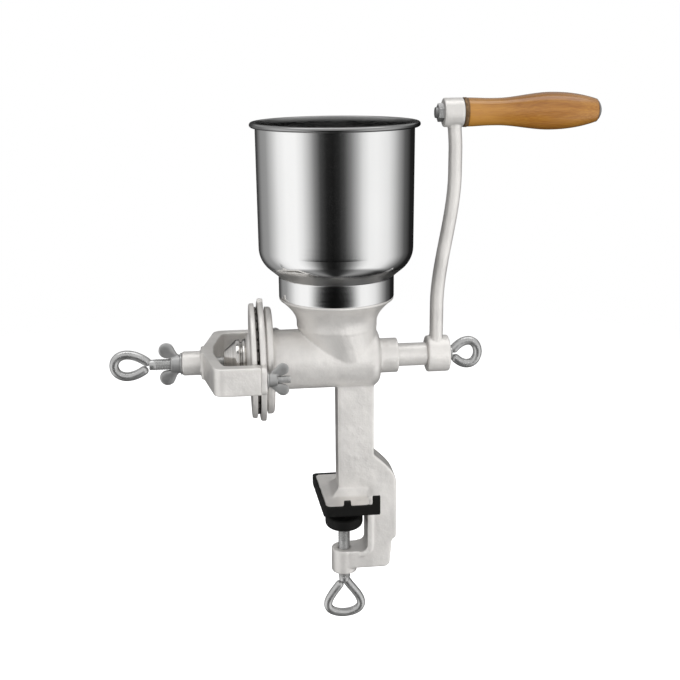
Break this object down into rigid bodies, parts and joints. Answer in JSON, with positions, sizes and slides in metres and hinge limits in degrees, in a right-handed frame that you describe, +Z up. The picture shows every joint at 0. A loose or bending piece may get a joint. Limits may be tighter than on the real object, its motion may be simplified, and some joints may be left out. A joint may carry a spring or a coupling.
{
  "type": "hand crank grain mill",
  "caption": "Table-clamped hand crank nut and grain mill with open steel hopper, feed worm, grinding burrs, adjusting yoke and wooden grip.",
  "frame": {"origin": "centre of the clamp's seat: on the clamp screw's axis, on the underside of the jaw pad, which lies on the table's top", "axes": "+Z up along the clamp screw's axis, +X along the crank shaft towards the crank, +Y to the back"},
  "size_m": [0.3799, 0.1276, 0.4315],
  "materials": {
    "tinned_iron": "satin tinned casting",
    "hopper_steel": "polished",
    "burr_iron": "rough casting",
    "zinc_steel": "bright zinc plated",
    "dark_steel": "blackened",
    "grip_wood": "varnished",
    "black_rubber": "matte"
  },
  "bodies": {
    "frame": {"mill_body": "tinned_iron", "stationary_burr": "burr_iron", "stationary_burr_screws": "zinc_steel", "yoke": "tinned_iron", "yoke_bolts": "zinc_steel", "jaw_pad": "black_rubber"},
    "hopper": {"hopper": "hopper_steel"},
    "thrust": {"thrust_ball": "zinc_steel"},
    "adjuster": {"adjusting_screw": "zinc_steel"},
    "rotor": {"auger": "tinned_iron", "burr_carrier": "tinned_iron", "rotating_burr": "burr_iron", "rotating_burr_screws": "zinc_steel", "drive_pin": "zinc_steel", "crank_arm": "tinned_iron", "grip_ferrule": "dark_steel", "grip_bolt": "dark_steel", "grip_nut": "zinc_steel"},
    "grip": {"grip": "grip_wood"},
    "crank_washer": {"crank_washer": "zinc_steel"},
    "crank_eye": {"crank_eye_screw": "zinc_steel"},
    "lock_washer": {"lock_washer": "zinc_steel"},
    "lock_nut": {"lock_wing_nut": "tinned_iron"},
    "foot": {"clamp_foot": "dark_steel", "foot_cap": "black_rubber"},
    "clamp_screw": {"clamp_screw": "zinc_steel"},
    "front_washer": {"yoke_washer_front": "zinc_steel"},
    "front_nut": {"yoke_wing_nut_front": "zinc_steel"},
    "back_washer": {"yoke_washer_back": "zinc_steel"},
    "back_nut": {"yoke_wing_nut_back": "zinc_steel"}
  },
  "joints": [
    {"name": "hopper_lift", "type": "slide", "parent": "frame", "child": "hopper", "axis": [0, 0, 1], "range_m": [0, 0.06]},
    {"name": "burr_adjust", "type": "slide", "parent": "frame", "child": "thrust", "axis": [1, 0, 0], "range_m": [-0.003, 0.0003]},
    {"name": "adjust_turn", "type": "hinge", "parent": "thrust", "child": "adjuster", "pos_m": [-0.13, 0, 0.121], "axis": [1, 0, 0], "range_deg": [-866, 88]},
    {"name": "crank_turn", "type": "hinge", "parent": "thrust", "child": "rotor", "pos_m": [0, 0, 0.121], "axis": [1, 0, 0], "continuous": true},
    {"name": "grip_spin", "type": "hinge", "parent": "rotor", "child": "grip", "pos_m": [0.145, 0, 0.309], "axis": [1, 0, 0], "continuous": true},
    {"name": "crank_screw_out", "type": "slide", "parent": "rotor", "child": "crank_washer", "axis": [1, 0, 0], "range_m": [0, 0.006]},
    {"name": "crank_screw_turn", "type": "hinge", "parent": "crank_washer", "child": "crank_eye", "pos_m": [0.09, 0, 0.121], "axis": [1, 0, 0], "range_deg": [-2, 2162]},
    {"name": "lock_nut_travel", "type": "slide", "parent": "frame", "child": "lock_washer", "axis": [1, 0, 0], "range_m": [-0.004, 0]},
    {"name": "lock_nut_turn", "type": "hinge", "parent": "lock_washer", "child": "lock_nut", "pos_m": [-0.13, 0, 0.121], "axis": [1, 0, 0], "range_deg": [-1154, 2]},
    {"name": "clamp_travel", "type": "slide", "parent": "frame", "child": "foot", "axis": [0, 0, 1], "range_m": [-0.018, 0.003]},
    {"name": "clamp_turn", "type": "hinge", "parent": "foot", "child": "clamp_screw", "pos_m": [0, 0, -0.05], "axis": [0, 0, 1], "range_deg": [-4325, 725]},
    {"name": "front_nut_travel", "type": "slide", "parent": "frame", "child": "front_washer", "axis": [1, 0, 0], "range_m": [0, 0.004]},
    {"name": "front_nut_turn", "type": "hinge", "parent": "front_washer", "child": "front_nut", "pos_m": [-0.058, -0.0507, 0.121], "axis": [1, 0, 0], "range_deg": [-2, 1442]},
    {"name": "back_nut_travel", "type": "slide", "parent": "frame", "child": "back_washer", "axis": [1, 0, 0], "range_m": [0, 0.004]},
    {"name": "back_nut_turn", "type": "hinge", "parent": "back_washer", "child": "back_nut", "pos_m": [-0.058, 0.0507, 0.121], "axis": [1, 0, 0], "range_deg": [-2, 1442]}
  ],
  "couplings": [
    {"joint": "adjust_turn", "follows": "burr_adjust", "rad_per_m": 5026.6},
    {"joint": "crank_screw_turn", "follows": "crank_screw_out", "rad_per_m": 6283.2},
    {"joint": "lock_nut_turn", "follows": "lock_nut_travel", "rad_per_m": 5026.6},
    {"joint": "clamp_turn", "follows": "clamp_travel", "rad_per_m": 4188.8},
    {"joint": "front_nut_turn", "follows": "front_nut_travel", "rad_per_m": 6283.2},
    {"joint": "back_nut_turn", "follows": "back_nut_travel", "rad_per_m": 6283.2}
  ]
}
